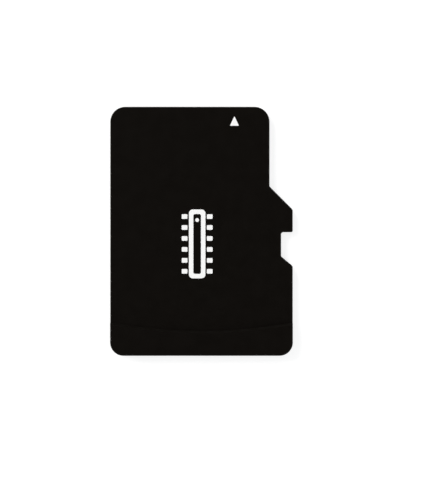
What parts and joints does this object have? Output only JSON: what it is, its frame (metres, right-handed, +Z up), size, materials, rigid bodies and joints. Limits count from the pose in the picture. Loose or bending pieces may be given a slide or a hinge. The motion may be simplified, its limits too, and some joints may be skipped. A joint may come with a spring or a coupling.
{
  "type": "microsd card",
  "caption": "Thin black flash memory card, stepped and notched along one long edge, with a finger lip at the rear, gold contacts beneath, and stacked, wire-bonded dies moulded inside.",
  "frame": {"origin": "middle of the card's underside, which is the contact side", "axes": "+X towards the notched edge, +Y towards the contact end, which goes into the socket first, +Z up out of the label side"},
  "size_m": [0.011, 0.015, 0.001],
  "materials": {
    "moulding": "fine matt, as it leaves the mould",
    "laminate": "sawn glass laminate",
    "solder_mask": "satin lacquer",
    "gold_plate": "hard gold plate on copper",
    "copper": "etched copper under the mask",
    "gold_wire": "drawn gold wire",
    "silicon": "thinned silicon, patterned on top",
    "die_film": "cured adhesive film",
    "capacitor_ceramic": "fired dielectric",
    "tin": "tin plate and solder",
    "white_ink": "flat white print"
  },
  "bodies": {
    "root": {"moulded_body": "moulding", "core_laminate": "laminate", "contact_side_mask": "solder_mask", "die_side_mask": "solder_mask", "contact_1": "gold_plate", "contact_2": "gold_plate", "contact_3": "gold_plate", "contact_4": "gold_plate", "contact_5": "gold_plate", "contact_6": "gold_plate", "contact_7": "gold_plate", "contact_8": "gold_plate", "contact_vias": "copper", "test_pads": "copper", "host_tracks": "copper", "bus_tracks": "copper", "flash_die_1": "silicon", "flash_die_2": "silicon", "flash_die_3": "silicon", "flash_die_4": "silicon", "flash_film_1": "die_film", "flash_film_2": "die_film", "flash_film_3": "die_film", "flash_film_4": "die_film", "flash_wires": "gold_wire", "controller_die": "silicon", "controller_film": "die_film", "controller_wires": "gold_wire", "capacitor_1": "capacitor_ceramic", "capacitor_2": "capacitor_ceramic", "capacitor_3": "capacitor_ceramic", "capacitor_4": "capacitor_ceramic", "capacitor_terminals": "tin", "capacitor_lands": "copper", "solder_joints": "tin"}
  },
  "joints": []
}
